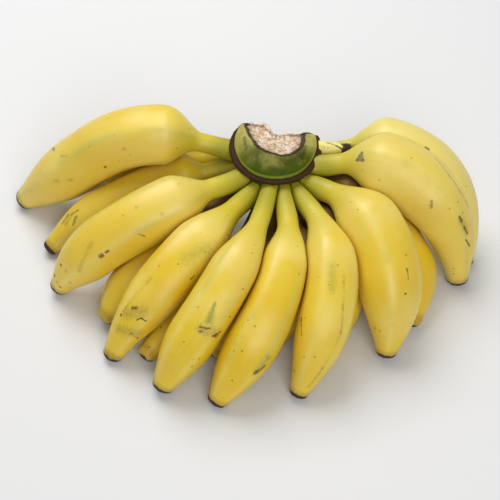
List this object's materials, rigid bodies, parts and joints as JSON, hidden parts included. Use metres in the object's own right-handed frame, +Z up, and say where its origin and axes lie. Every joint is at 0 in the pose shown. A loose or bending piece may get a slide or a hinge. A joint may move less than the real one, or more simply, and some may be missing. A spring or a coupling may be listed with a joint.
{
  "type": "hand of bananas",
  "caption": "Hand of short, plump ripe bananas fanned in two rows round a cut crescent crown, lying palm down on the fruit tips.",
  "frame": {"origin": "middle of the hand's outer box, on the surface that the fruit tips rest on", "axes": "+X along the hand's long side, +Y towards the back of the crown where it was cut off, +Z up; the fruits fan out to the left, front and right"},
  "size_m": [0.2962, 0.1962, 0.0832],
  "materials": {
    "peel": "ripe banana peel: warm yellow, paler on top, greener at the stalk, waxy soft sheen, dark dried tip",
    "stalk": "dry pale yellow stalk skin with a torn black end",
    "crown": "green mottled rind with a brown scar line and a tan fibrous knife cut"
  },
  "bodies": {
    "root": {"banana_upper_1": "peel", "banana_upper_2": "peel", "banana_upper_3": "peel", "banana_upper_4": "peel", "banana_upper_5": "peel", "banana_upper_6": "peel", "banana_upper_7": "peel", "banana_upper_8": "peel", "banana_lower_1": "peel", "banana_lower_2": "peel", "banana_lower_3": "peel", "banana_lower_4": "peel", "banana_lower_5": "peel", "banana_lower_6": "peel", "banana_lower_7": "peel", "banana_lower_8": "peel", "banana_lower_9": "peel", "bare_stalk": "stalk", "crown": "crown"}
  },
  "joints": []
}
